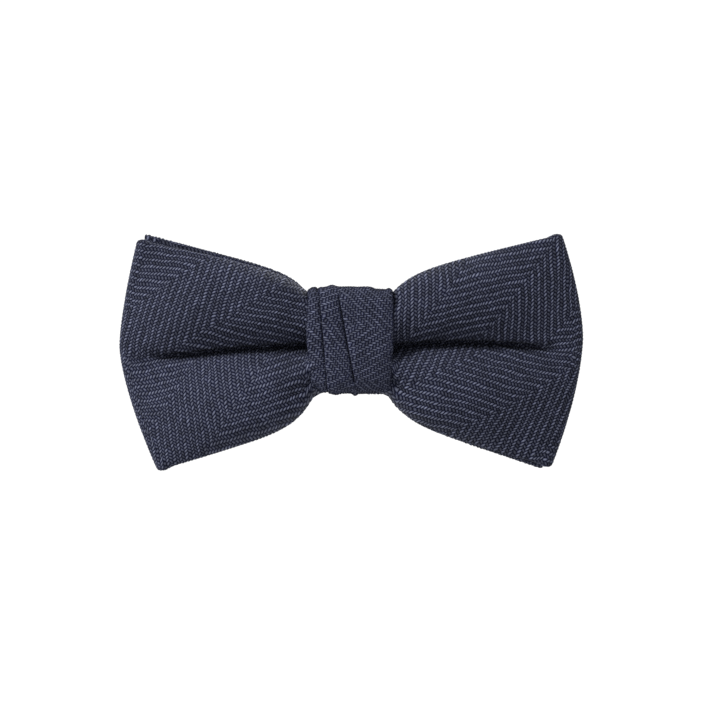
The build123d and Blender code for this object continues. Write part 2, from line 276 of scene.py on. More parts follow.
def closed_strip(name, material, outer, inner, cloth_outer, wrap_s, seed=0, relief=YARN_HEIGHT):
    """A strip of cloth as one closed mesh: outer face, two rounded long edges and inner face.

    outer is a fine grid (stations, places across, 3), inner a coarse one.  The woven relief is raised
    on the outer face and the edges.
    """
    rows = outer.shape[0]
    u_out, v_out = wobbled(cloth_outer[..., 0], cloth_outer[..., 1], seed)

    def edge_arc(o_end, i_end, outward, u_end, v_end, grow):
        """Half-round edge from the outer face's end to the inner face's end."""
        middle, half = (o_end + i_end) / 2, (o_end - i_end) / 2
        radius = np.linalg.norm(half, axis=-1, keepdims=True)
        arc, us, vs = [], [], []
        for k in range(1, EDGE_STEPS):
            angle = math.pi * k / EDGE_STEPS
            arc.append(middle + half * math.cos(angle) + outward * radius * math.sin(angle))
            us.append(u_end)
            vs.append(v_end + grow * angle * radius[..., 0])
        return np.stack(arc, 1), np.stack(us, 1), np.stack(vs, 1)

    top_out = unit(outer[:, -1] - outer[:, -3])
    low_out = unit(outer[:, 0] - outer[:, 2])
    top, top_u, top_v = edge_arc(outer[:, -1], inner[:, -1], top_out, u_out[:, -1], v_out[:, -1], 1)
    low, low_u, low_v = edge_arc(outer[:, 0], inner[:, 0], low_out, u_out[:, 0], v_out[:, 0], -1)
    inner_back = inner[:, ::-1]
    inner_u = np.repeat(u_out[:, -1:], inner.shape[1], 1)
    inner_v = top_v[:, -1:] + path_lengths(inner_back, 1)
    low = low[:, ::-1]
    points = np.concatenate([outer, top, inner_back, low], 1)
    u = np.concatenate([u_out, top_u, inner_u, low_u[:, ::-1]], 1)
    v = np.concatenate([v_out, top_v, inner_v, low_v[:, ::-1]], 1)
    columns = points.shape[1]

    across = np.roll(points, -1, 1) - np.roll(points, 1, 1)
    if wrap_s:
        along = np.roll(points, -1, 0) - np.roll(points, 1, 0)
    else:
        along = np.gradient(points, axis=0)
    normals = unit(np.cross(across, along))
    raised = np.zeros((rows, columns))
    for shown in (slice(None, outer.shape[1] + EDGE_STEPS - 1), slice(1 - EDGE_STEPS, None)):
        raised[:, shown] = weave_height(u[:, shown], v[:, shown]) - 0.5
    points = points + normals * (raised * relief)[..., None]

    u_wrap = np.concatenate([u, u[:, :1]], 1)
    v_wrap = np.concatenate([v, v_out[:, :1]], 1)
    if wrap_s:
        u_wrap = np.concatenate([u_wrap, 2 * u_wrap[-1:] - u_wrap[-2:-1]], 0)
        v_wrap = np.concatenate([v_wrap, v_wrap[:1]], 0)
    faces, corner_r, corner_c = grid_faces(rows, columns, wrap_s, True)
    cloth = np.stack([u_wrap[corner_r, corner_c], v_wrap[corner_r, corner_c]], -1)
    face_list = faces[:, ::-1].tolist()
    cloth = cloth[:, ::-1].reshape(-1, 2)
    if not wrap_s:
        first = list(range(columns))
        last = [(rows - 1) * columns + k for k in range(columns)][::-1]
        face_list += [first, last]
        caps = np.concatenate([np.stack([u[0], v[0]], -1), np.stack([u[-1], v[-1]], -1)[::-1]])
        cloth = np.concatenate([cloth, caps])
    return make_object(name, points.reshape(-1, 3), face_list, material, cloth)


def lining_strip(name, material, core, normals, cloth, wrap, seed):
    """A smooth strip of interlining about its middle surface."""
    offset = normals * LINING / 2
    return closed_strip(name, material, core + offset, core - offset, cloth, wrap, seed=seed, relief=0.0)


# ---- front bow ----
def edge_z(edge, x, sign):
    """Height of a long edge of a strip at X, as a distance from the waist."""
    corner_x, corner_z = edge["corner"]
    sag = edge["drop"] * np.exp(-(x - KNOT_EDGE) / edge["reach"])
    return corner_z + sign * (edge["slope"] * (x - corner_x) - sag)


def fold_line(side, z):
    """X of the end fold's silhouette at height z, as a distance from the waist."""
    spec = BOW_SIDES[side]
    crest_x, crest_z = spec["crest"]
    corner = spec["top"]["corner"]
    low_corner = spec["bottom"]["corner"]
    up = np.maximum(z - crest_z, 0) / (corner[1] - crest_z)
    down = np.maximum(crest_z - z, 0) / (crest_z - low_corner[1])
    power = spec["fold_power"]
    return crest_x - (crest_x - corner[0]) * up**power - (crest_x - low_corner[0]) * down**power


def fold_centre(side, across):
    """X of the end fold's centre line for places across the strip, -1 at the bottom to 1 at the top."""
    spec = BOW_SIDES[side]
    top = spec["top"]["corner"][1] - SHEET / 2
    bottom = spec["bottom"]["corner"][1] + SHEET / 2
    z = lerp(bottom, top, (across + 1) / 2)
    return fold_line(side, z) - FOLD_R - SHEET / 2, z


def front_panel(side, place, across):
    """Middle surface of a lobe's front panel.  place runs from 0 in the knot to 1 at the fold."""
    spec = BOW_SIDES[side]
    fold_x, fold_z = fold_centre(side, across)
    x = lerp(LOBE_START, fold_x, place)
    top = edge_z(spec["top"], x, 1) - SHEET / 2
    bottom = edge_z(spec["bottom"], x, -1) + SHEET / 2
    start, end, arch = spec["crease"]
    crease_z = lerp(start, end, place**1.5) + arch * np.sin(math.pi * place)
    half = np.abs(across)
    upper = across > 0
    reach = np.where(upper, top - crease_z, crease_z - bottom)

    # Each half turns inwards at the crease: the floor's bend, a wall, then the roll that shows.
    gap = SHEET / 2 + CREASE_OPENING
    flare = np.where(upper, *CREASE_FLARE)
    bend = np.clip(half / CREASE_BEND, 0, 1) * math.pi / 2
    wall = np.clip((half - CREASE_BEND) / (CREASE_WALL - CREASE_BEND), 0, 1)
    turn = np.clip((half - CREASE_WALL) / (1 - CREASE_WALL), 0, 1)
    gather = 1 - smoothstep(0.0, 0.85, place)
    share = lerp(turn, (1 - np.cos(math.pi * turn)) / 2, gather * 0.5)
    rise = gap * np.sin(bend) + flare * wall + (reach - gap - flare) * share
    even_z = lerp(bottom, top, (across + 1) / 2)
    z = lerp(crease_z + np.where(upper, 1, -1) * rise, even_z, smoothstep(0.75, 1.0, place))

    halfway = np.sin(math.pi * place)
    bulge = (LOBE_BULGE + BULGE_GAIN * smoothstep(0.02, 0.3, place)) * (1 - place**BULGE_FADE)
    base = lerp(*PANEL_Y, place) - PANEL_ARCH * halfway
    crease = (CREASE_DEPTH * (1 - wall) + gap * np.cos(bend)) * (1 - smoothstep(*CREASE_END, place))
    roll = lerp(*EDGE_ROLL, place) * smoothstep(0.7, 1.0, half) ** 2
    fullness = np.where(turn < 0.5, CREASE_ROUND, EDGE_ROUND)
    y = base - bulge * np.sin(math.pi * turn) ** fullness + crease + roll

    near_knot = np.exp(-place / 0.16) + 0.12 * np.exp(-place / 0.5)
    pucker = ripple(fold_z, x * 0.18, PUCKER_SIZE, 40 + side)
    y = y - PUCKER * near_knot * pucker * np.sin(math.pi * half) ** 0.5
    y = y - SWELL * ripple(x, fold_z, SWELL_SIZE, 50 + side) * halfway
    return np.stack([side * x, y, z], -1)


def back_panel(side, place, across):
    """Middle surface of a lobe's rear panel, from 0 in the knot to 1 at the fold."""
    spec = BOW_SIDES[side]
    fold_x, _ = fold_centre(side, across)
    x = lerp(LOBE_START, fold_x, place)
    inset = SHEET / 2 + WAIST_PINCH * (1 - place)
    top = edge_z(spec["top"], x, 1) - inset
    bottom = edge_z(spec["bottom"], x, -1) + inset
    z = lerp(bottom, top, (across + 1) / 2)
    swell = (1 + ripple(x, z, REAR_SWELL_SIZE, 60 + side)) / 2
    y = bow_high[1] - SHEET / 2 - REAR_SWELL * np.sin(math.pi * place) * swell
    return np.stack([side * x, y - 0.5 * (1 - place) ** 3, z], -1)


def end_fold(side, angles, across):
    """Middle surface of the end fold, from the front (0) to the rear (pi)."""
    fold_x, fold_z = fold_centre(side, across)
    centre_y = bow_high[1] - SHEET / 2 - FOLD_R
    x = fold_x + FOLD_R * np.sin(angles)
    y = centre_y - FOLD_R * np.cos(angles) + 0 * fold_x
    return np.stack([side * x, y, fold_z + 0 * angles], -1)


def loop_middle(columns):
    """Middle surface of the whole loop, from the rear of the waist round the right lobe and back."""
    across = np.linspace(-1, 1, columns)[None, :]
    length = bow_high[0]
    fine = max(int(length * 0.86 / DETAIL), 40)
    coarse = int(length / COARSE)
    fold_steps = max(int(math.pi * (FOLD_R + SHEET / 2) / DETAIL), 10)

    def places(count):
        return np.linspace(0, 1, count)[:, None]

    def turn(count):
        return np.linspace(0, math.pi, count + 2)[1:-1][:, None]

    right = [
        back_panel(1, places(coarse), across),
        end_fold(1, turn(fold_steps)[::-1], across),
        front_panel(1, places(fine)[::-1], across),
    ]
    left = [
        front_panel(-1, places(fine), across),
        end_fold(-1, turn(fold_steps), across),
        back_panel(-1, places(coarse)[::-1], across),
    ]
    waist_steps = np.linspace(0, 1, 8)[1:-1][:, None, None]
    waist_front = lerp(right[-1][-1][None], left[0][0][None], waist_steps)
    waist_rear = lerp(left[-1][-1][None], right[0][0][None], waist_steps)
    return np.concatenate(right + [waist_front] + left + [waist_rear])


def strip_coordinates(surface):
    """Cloth coordinates of the loop: u along it from the waist, v across it from edge to middle.

    On the front both follow the strip's flat outline, as if the gathers beside the knot weren't there.
    """
    steps = np.abs(np.diff(surface, axis=0))
    at_fold = (np.abs(surface[1:, :, 0]) > FOLD_ZONE_X) & (surface[1:, :, 1] > PANEL_REAR_Y)
    along = np.hypot(steps[..., 0] * PANEL_STRETCH, steps[..., 1] * at_fold)
    lengths = np.concatenate([np.zeros_like(along[:1]), np.cumsum(along, axis=0)])
    crown = surface[:, 3 * surface.shape[1] // 4]
    front = np.argmin(np.where(crown[:, 1] < PANEL_REAR_Y, np.abs(crown[:, 0]), np.inf))
    u = -(lengths - lengths[front])

    upper = np.arange(surface.shape[1]) >= surface.shape[1] // 2
    out_u = u
    out_v = 0 * u
    x = np.maximum(np.abs(surface[..., 0]), KNOT_EDGE)
    for (sign, up), (lean, shift) in CLOTH_PULL.items():
        here = (surface[..., 0] * sign >= 0) & (upper if up > 0 else ~upper)
        edge = BOW_SIDES[sign]["top" if up > 0 else "bottom"]
        sunk = edge["drop"] * np.exp(-(x - KNOT_EDGE) / edge["reach"])
        border = surface[:, -1:, 2] if up > 0 else surface[:, :1, 2]
        v = up * (STRIP_HALF - np.abs(border - surface[..., 2]) - sunk)
        out_v = np.where(here, v, out_v)
        out_u = np.where(here, u + shift - lean * (v - up * PULL_PIVOT), out_u)
    return np.stack([out_u, out_v], -1)


def edge_thickness(columns):
    """What the seam turnings add to the sandwich's half thickness across the strip."""
    across = np.abs(np.linspace(-1, 1, columns))
    from_edge = STRIP_HALF * (1 - across)
    turning = 0.14 * smoothstep(4.6, 3.4, from_edge) * smoothstep(0.0, 1.2, from_edge)
    groove = -0.12 * np.exp(-(((from_edge - 4.4) / 0.6) ** 2))
    return turning + groove


def sparse_columns(columns, step):
    """Every step-th place of a grid's columns, and the last one."""
    return np.unique(np.append(np.arange(0, columns, step), columns - 1))


def make_front_bow(material, lining_material):
    """The loop of cloth that makes both lobes, and the interlining inside its sandwich."""
    columns = 2 * int(STRIP_HALF / DETAIL)
    middle = blur_along(loop_middle(columns), 10, True)
    normals = grid_normals(middle, True)
    flat = smoothstep(0.5, 0.95, np.abs(normals[..., 1]))
    half = (SHEET / 2 + edge_thickness(columns)[None, :] * flat)[..., None]
    outer = middle + normals * half
    step = int(COARSE / DETAIL)
    inner = (middle - normals * half)[:, sparse_columns(columns, step)]
    cloth = strip_coordinates(outer)
    bow = closed_strip("front_bow_cloth", material, outer, inner, cloth, True, seed=3)

    # the interlining follows the same surface, on fewer points and narrower
    rows_kept = slice(None, None, int(1.0 / DETAIL))
    columns_kept = slice(4 * step, -4 * step, step)
    core = middle[rows_kept, columns_kept]
    core_normals = normals[rows_kept, columns_kept]
    core_cloth = cloth[rows_kept, columns_kept]
    return bow, lining_strip("front_bow_lining", lining_material, core, core_normals, core_cloth, True, 9)


# ---- tails ----
def tails_middle(rows, columns, inset):
    """Middle surface of the flat strip behind the loop, from its right end to its left end."""
    across = np.linspace(-1, 1, columns)[None, :]

    def half(side, place):
        top_spec = TAIL_SIDES[side]["top"]
        low_spec = TAIL_SIDES[side]["bottom"]
        end_x = lerp(low_spec["corner"][0], top_spec["corner"][0], (across + 1) / 2) - inset
        end_x = end_x + TAIL_END_BOW * (1 - across**2)
        x = lerp(0, end_x, place)
        shown = np.maximum(x, LOBE_START)
        top = edge_z(top_spec, shown, 1) - SHEET / 2 - inset
        bottom = edge_z(low_spec, shown, -1) + SHEET / 2 + inset
        z = lerp(bottom, top, (across + 1) / 2)
        swell = TAIL_SWELL * (1 + ripple(x, z, TAIL_SWELL_SIZE, 70 + side))
        y = tails_high[1] - SHEET / 2 - swell * place * (1 - 0.5 * place)
        gather = np.exp(-((x - LOBE_START) / TAIL_GATHER_REACH) ** 2) * (x > 2)
        y = y - TAIL_GATHER * gather * (1 + np.sin(across * TAIL_GATHER_WAVE + side))
        return np.stack([side * x, y, z], -1)

    places = np.linspace(0, 1, rows // 2)[:, None]
    return np.concatenate([half(1, places[::-1]), half(-1, places[1:])])


def make_tails(material, lining_material):
    """The flat strip behind the loop, and its interlining."""
    detail = DETAIL * 1.4
    rows = int((tails_high[0] - tails_low[0]) / detail)
    columns = 2 * int(STRIP_HALF / detail)
    middle = blur_along(tails_middle(rows, columns, 0.0), 4, False)
    normals = -grid_normals(middle, False)
    x = middle[..., 0]
    to_end = np.minimum(np.abs(x - x[:1]), np.abs(x - x[-1:]))
    round_end = np.sqrt(np.clip(1 - (1 - np.clip(to_end / (SHEET / 2), 0, 1)) ** 2, 0.0004, 1))
    half = (SHEET / 2 + edge_thickness(columns)[None, :]) * round_end
    outer = middle + normals * half[..., None]
    inner = (middle - normals * half[..., None])[:, sparse_columns(columns, 2)]
    steps = path_lengths(middle, 0)
    u = steps.mean(axis=1, keepdims=True) - steps.mean(axis=1).max() / 2 + TAIL_CLOTH_START + 0 * steps
    v = path_lengths(middle, 1)
    v = STRIP_HALF * (2 * v / v[:, -1:] - 1)
    cloth = np.stack([u, v], -1)
    tails = closed_strip("tails_cloth", material, outer, inner, cloth, False, seed=13)

    core = tails_middle(rows // 6, columns // 6, TAIL_LINING_INSET)
    core_normals = grid_normals(core, False)
    flat = np.stack([path_lengths(core, 0), path_lengths(core, 1)], -1)
    return tails, lining_strip("tails_lining", lining_material, core, core_normals, flat, False, 19)


# ---- knot ----
KNOT_WALL = 1.95  # thickness of the band with its lining
KNOT_SECTION_POWER = 0.42  # low for a boxy section, 1 for an ellipse
KNOT_DOME = 0.75  # how far the band drops at its side edges
KNOT_DROP = 0.3  # how far it lies inside the CAD box
KNOT_WAVE = 0.14
KNOT_LINING_INSET = 2.5  # from the band's side edges
KNOT_LINING_OUTER = KNOT_WALL - 0.4  # depths of the lining's two faces inside the band
KNOT_LINING_INNER = KNOT_WALL - 0.15
# Pleats of the knot band.  Each fold line runs from top to bottom, and the band on its right laps over.
PLEATS = (
    {"top": (-7.3, 14.0), "bottom": (-5.2, -11.0), "groove": 0.75, "lap": 0.7, "fades": (14.5, -12.0)},
    {"top": (-2.6, 11.5), "bottom": (1.0, -7.8), "groove": 1.0, "lap": 0.55, "fades": (12.0, -8.5)},
)
PLEAT_FADE = 1.5  # half the length over which a pleat comes and goes
LAP_REACH = 4.5  # the lap slopes down again over this width
GROOVE_X = -0.2  # the groove lies just before the fold line
GROOVE_WIDTH = 0.42
OVERHANG_SHARE = 0.45  # how far a lap leans over its groove, for its height
# Bumps of the knot's outline: (X, half width, height).
TOP_BUMPS = (
    (-9.2, 0.9, 0.15),
    (-7.9, 0.3, -0.45),
    (-4.6, 1.1, 0.5),
    (0.6, 3.2, 0.1),
    (6.8, 1.6, -0.85),
    (9.0, 0.6, 0.35),
)
LOW_BUMPS = (
    (-9.6, 1.6, -0.9),
    (-3.5, 1.0, 0.5),
    (0.9, 0.6, 0.55),
    (8.1, 0.5, 0.4),
)
# Yarn directions on the knot, left of both fold lines, between them and right of them: the warp's angle in
# degrees, and the height where a reversal crosses the middle.
KNOT_WEAVE = (
    {"angle": -6.0, "start": 16.0},
    {"angle": -12.0, "start": -7.4},
    {"angle": -8.0, "start": 4.6},
)
KNOT_YARN_ALONG = 0.61  # yarn pitches: the band is stretched one way
KNOT_YARN_ACROSS = 0.48


def ring_point(turn, inset):
    """A rounded rectangle in the YZ plane.  turn is in radians, 0 at the front's middle, going up."""
    centre_y = (knot_low[1] + knot_high[1]) / 2
    centre_z = (knot_low[2] + knot_high[2]) / 2
    half_y = (knot_high[1] - knot_low[1]) / 2 - inset
    half_z = (knot_high[2] - knot_low[2]) / 2 - inset
    c = np.cos(turn)
    s = np.sin(turn)
    y = centre_y - half_y * np.sign(c) * np.abs(c) ** KNOT_SECTION_POWER
    z = centre_z + half_z * np.sign(s) * np.abs(s) ** KNOT_SECTION_POWER
    return y, z


def even_ring(count, inset):
    """Points of the ring at even distances, starting at the middle of the rear and going over the top."""
    turn = np.linspace(-math.pi, math.pi, 6001)
    y, z = ring_point(-turn, inset)
    length = np.concatenate([[0], np.cumsum(np.hypot(np.diff(y), np.diff(z)))])
    wanted = np.linspace(0, length[-1], count, endpoint=False)
    return np.interp(wanted, length, y), np.interp(wanted, length, z), wanted


def pleat_line(pleat, z):
    """X of a fold line at height z."""
    (top_x, top_z), (low_x, low_z) = pleat["top"], pleat["bottom"]
    return lerp(low_x, top_x, (z - low_z) / (top_z - low_z))


def pleat_profile(q, z, front):
    """Shift in X and lift of the knot band at places q across it and heights z."""
    shift = 0 * q
    lift = 0 * q
    for pleat in PLEATS:
        past = q - pleat_line(pleat, z)
        high, low = pleat["fades"]
        comes = smoothstep(low - PLEAT_FADE, low + PLEAT_FADE, z)
        goes = smoothstep(high + PLEAT_FADE, high - PLEAT_FADE, z)
        shown = front * goes * comes
        rise = smoothstep(-0.25, 0.2, past) * np.exp(-np.maximum(past, 0) / LAP_REACH)
        groove = np.exp(-np.abs(past - GROOVE_X) / GROOVE_WIDTH)
        lift = lift + shown * (pleat["lap"] * rise - pleat["groove"] * groove)
        overhang = OVERHANG_SHARE * pleat["lap"] * np.exp(-(((past - 0.25) / 0.4) ** 2))
        shift = shift - shown * overhang
    return q + shift, lift


def bumps(x, rows):
    """Sum of bell curves at x, one for each row."""
    total = 0 * x
    for centre, half_width, height in rows:
        total = total + height * np.exp(-(((x - centre) / half_width) ** 2))
    return total


def knot_cloth(q, along, z, front):
    """Cloth coordinates of the knot band: each pleat turns the warp its own way."""
    band = np.zeros(q.shape, dtype=int)
    for pleat in PLEATS:
        line = pleat_line(pleat, np.clip(z, pleat["bottom"][1], pleat["top"][1]))
        band = band + (q > line + GROOVE_X)
    band = np.where(front > 0, band, 2)
    angle = np.radians(np.array([zone["angle"] for zone in KNOT_WEAVE]))[band]
    start = np.array([zone["start"] for zone in KNOT_WEAVE])[band]
    warp_way = q * np.cos(angle) + along * np.sin(angle)
    weft_way = -q * np.sin(angle) + along * np.cos(angle) - start
    a = weft_way / KNOT_YARN_ACROSS * ROOT2 * YARN + COLUMN_START + COLUMN_YARNS * ROOT2 * YARN
    b = warp_way / KNOT_YARN_ALONG * ROOT2 * YARN
    return np.stack([(a + b) / 2, (b - a) / 2], -1)


def knot_edges(z):
    """X of the knot's left and right edges at height z."""
    middle = (knot_low[2] + knot_high[2]) / 2
    half = (knot_high[2] - knot_low[2]) / 2
    t = (z - middle) / half
    left = knot_low[0] - 0.2 + 0.9 * smoothstep(0.2, -1.0, t) + 0.2 * smoothstep(0.4, 1.0, t)
    right = knot_high[0] - 0.4 - 0.7 * smoothstep(0.0, -1.0, t)
    return left, right


def z_along(along, z):
    """Distance round the ring, counted upwards on the front and zero at the frame's middle height."""
    whole = along[-1]
    on_front = np.abs(along - whole / 2) <= whole / 4
    front_middle = np.argmin(np.where(on_front, np.abs(z), np.inf))
    return along[front_middle] - along


def ring_grid(x, y, z):
    """Points of a band from its places in X and a ring's Y and Z, spread to one grid."""
    return np.stack(np.broadcast_arrays(x, y, z), -1)


def make_knot(material, lining_material):
    """The band round the waist with its pleats, and its interlining."""
    perimeter = 2 * ((knot_high[1] - knot_low[1]) + (knot_high[2] - knot_low[2]))
    rows = int(perimeter / DETAIL)
    columns = int((knot_high[0] - knot_low[0]) / DETAIL * 1.15)
    y, z, along = even_ring(rows, 0.0)
    left, right = knot_edges(z)
    slope_y = np.gradient(y)
    slope_z = np.gradient(z)
    size = np.hypot(slope_y, slope_z)
    out_y = (slope_z / size)[:, None]
    out_z = (-slope_y / size)[:, None]
    y, z, along, left, right = (values[:, None] for values in (y, z, along, left, right))

    share = np.linspace(0, 1, columns)[None, :]
    q = lerp(left + KNOT_WALL / 2, right - KNOT_WALL / 2, share)
    front = smoothstep(knot_low[1] + 9.0, knot_low[1] + 3.5, y)
    near_front = smoothstep(-4.0, -7.0, y)
    x, lift = pleat_profile(q, z + 0 * q, front)
    dome = -KNOT_DOME * np.abs(2 * share - 1) ** 6 - KNOT_DROP
    wave = KNOT_WAVE * ripple(q * 1.5, along, 9.0, 80)
    outline = np.maximum(out_z, 0) ** 2 * bumps(q, TOP_BUMPS)
    outline = outline + np.maximum(-out_z, 0) ** 2 * bumps(q, LOW_BUMPS)
    height = lift * (1 - 0.5 * out_z**2) + dome + wave + outline * near_front
    outer = ring_grid(x, y + out_y * height, z + out_z * height)
    inner = ring_grid(q, y - out_y * KNOT_WALL, z - out_z * KNOT_WALL)
    inner = inner[:, sparse_columns(columns, int(COARSE / DETAIL))]
    cloth = knot_cloth(q, z_along(along[:, 0], z[:, 0])[:, None] + 0 * q, z + 0 * q, front + 0 * q)
    wrap = closed_strip("knot_band", material, outer, inner, cloth, True, seed=23)

    wide = np.linspace(knot_low[0] + KNOT_LINING_INSET, knot_high[0] - KNOT_LINING_INSET, 12)[None, :]

    def lining_face(inset):
        ring_y, ring_z, ring_along = (values[:, None] for values in even_ring(rows // 5, inset))
        return ring_grid(wide, ring_y, ring_z), ring_along

    lining_outer, lining_along = lining_face(KNOT_LINING_OUTER)
    lining_inner, _ = lining_face(KNOT_LINING_INNER)
    flat = np.stack(np.broadcast_arrays(lining_along, wide), -1)
    lining = closed_strip(
        "knot_lining", lining_material, lining_outer, lining_inner, flat, True, seed=29, relief=0.0
    )
    return wrap, lining


# ---- materials ----
class Graph:
    """A short way to write shader node trees."""

    def __init__(self, name):
        self.material = bpy.data.materials.new(name)
        self.material.use_nodes = True
        self.tree = self.material.node_tree
        self.shader = self.tree.nodes["Principled BSDF"]

    def node(self, kind, **settings):
        made = self.tree.nodes.new(kind)
        for key, value in settings.items():
            setattr(made, key, value)
        return made

    def put(self, value, socket):
        if isinstance(value, bpy.types.NodeSocket):
            self.tree.links.new(value, socket)
        else:
            socket.default_value = value

    def math(self, operation, *values):
        made = self.node("ShaderNodeMath", operation=operation)
        for value, socket in zip(values, made.inputs):
            self.put(value, socket)
        return made.outputs[0]

    def around_one(self, noise, amount):
        """Turns noise from 0 to 1 into a factor spread by amount about 1."""
        return self.math("MULTIPLY_ADD", noise, amount, 1 - amount / 2)

    def mix(self, factor, a, b):
        """a + (b - a) * factor, for numbers."""
        made = self.node("ShaderNodeMix", data_type="FLOAT")
        self.put(factor, made.inputs[0])
        self.put(a, made.inputs[2])
        self.put(b, made.inputs[3])
        return made.outputs[0]

    def tint(self, a, b):
        """Colour a times colour b."""
        made = self.node("ShaderNodeMix", data_type="RGBA", blend_type="MULTIPLY")
        made.inputs[0].default_value = 1.0
        self.put(a, made.inputs[6])
        self.put(b, made.inputs[7])
        return made.outputs[2]

    def ramp(self, factor, stops):
        """Colours for a number, from stops of (place, colour)."""
        made = self.node("ShaderNodeValToRGB")
        self.put(factor, made.inputs[0])
        elements = made.color_ramp.elements
        while len(elements) < len(stops):
            elements.new(0.5)
        for element, (place, colour) in zip(elements, stops):
            element.position = place
            element.color = (*colour, 1)
        return made.outputs[0]

    def noise(self, vector, scale, detail=2.0, rough=0.5):
        made = self.node("ShaderNodeTexNoise")
        self.put(vector, made.inputs["Vector"])
        made.inputs["Scale"].default_value = scale
        made.inputs["Detail"].default_value = detail
        made.inputs["Roughness"].default_value = rough
        return made.outputs[0]

    def vector(self, x, y, z):
        made = self.node("ShaderNodeCombineXYZ")
        for value, socket in zip((x, y, z), made.inputs):
            self.put(value, socket)
        return made.outputs[0]

    def cloth_uv(self):
        """Cloth coordinates u and v, in millimetres."""
        made = self.node("ShaderNodeUVMap", uv_map="cloth")
        split = self.node("ShaderNodeSeparateXYZ")
        self.tree.links.new(made.outputs[0], split.inputs[0])
        return split.outputs[0], split.outputs[1]

    def bump(self, height, distance, strength):
        made = self.node("ShaderNodeBump")
        self.put(height, made.inputs["Height"])
        made.inputs["Distance"].default_value = distance
        made.inputs["Strength"].default_value = strength
        self.tree.links.new(made.outputs[0], self.shader.inputs["Normal"])


def weave_nodes(g, u, v):
    """The same herringbone as weave_height, as shader nodes."""
    scale = 1 / (ROOT2 * YARN)
    a = g.math("MULTIPLY", g.math("SUBTRACT", u, v), scale)
    b = g.math("MULTIPLY", g.math("ADD", u, v), scale)
    i, j = g.math("FLOOR", a), g.math("FLOOR", b)
    shifted = g.math("SUBTRACT", a, COLUMN_START * scale)
    column = g.math("FLOOR", g.math("DIVIDE", shifted, float(COLUMN_YARNS)))
    way = g.math("MULTIPLY_ADD", g.math("FLOORED_MODULO", column, 2.0), 2.0, -1.0)
    way_i = g.math("MULTIPLY", way, i)
    warp_turn = g.math("ADD", way_i, g.math("ADD", b, 1.0))
    weft_turn = g.math("MULTIPLY_ADD", way, a, g.math("ADD", j, g.math("MULTIPLY_ADD", way, -0.5, -0.5)))

    def yarn(turn, offset):
        along = g.math("DIVIDE", g.math("SUBTRACT", g.math("FLOORED_MODULO", turn, 4.0), 2.0), FLOAT_LENGTH)
        across = g.math("DIVIDE", g.math("SUBTRACT", offset, 0.5), FLOAT_WIDTH)
        gone = g.math("MULTIPLY_ADD", along, along, g.math("MULTIPLY", across, across))
        return g.math("SQRT", g.math("MAXIMUM", g.math("SUBTRACT", 1.0, gone), 0.0))

    warp = yarn(warp_turn, g.math("FRACT", a))
    weft = g.math("MULTIPLY", yarn(weft_turn, g.math("FRACT", b)), WEFT_LAYER)
    warp_up = g.math("GREATER_THAN", warp, weft)
    warp_float = g.math("MULTIPLY_ADD", i, 17.0, g.math("FLOOR", g.math("DIVIDE", warp_turn, 4.0)))
    weft_float = g.math("MULTIPLY_ADD", j, 23.0, g.math("FLOOR", g.math("DIVIDE", weft_turn, 4.0)))
    float_id = g.mix(warp_up, weft_float, warp_float)
    return g.math("MAXIMUM", warp, weft), warp_up, float_id, a, b, i, j


